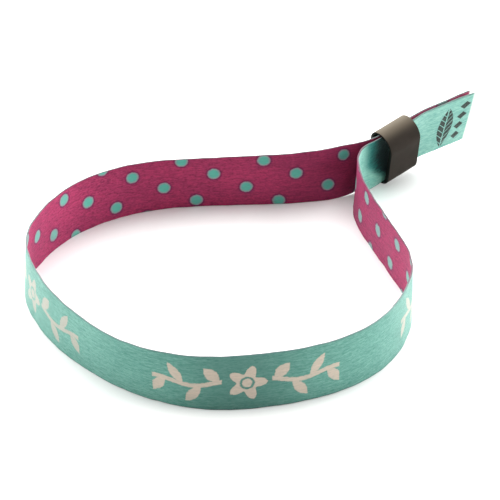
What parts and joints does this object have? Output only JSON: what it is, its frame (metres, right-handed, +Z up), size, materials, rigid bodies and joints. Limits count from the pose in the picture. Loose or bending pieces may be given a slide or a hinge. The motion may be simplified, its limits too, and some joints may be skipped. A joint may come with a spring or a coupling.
{
  "type": "festival wristband",
  "caption": "Fabric wristband: a satin ribbon with a teal outside and a magenta, dotted inside, bent into a loop and closed by a hollow one-way plastic slider with two short tails.",
  "frame": {"origin": "middle of the bounding box on the floor that the ribbon stands on", "axes": "+Z is up across the ribbon's width; the front strand with the main print is on the -Y side and faces -Y; the slider and the tails are at +X +Y"},
  "size_m": [0.11, 0.11, 0.0191],
  "materials": {
    "ribbon_cloth": "printed satin weave, teal outside and magenta inside",
    "slider_plastic": "satin dark grey-brown"
  },
  "bodies": {
    "root": {"ribbon": "ribbon_cloth", "slider": "slider_plastic"}
  },
  "joints": []
}
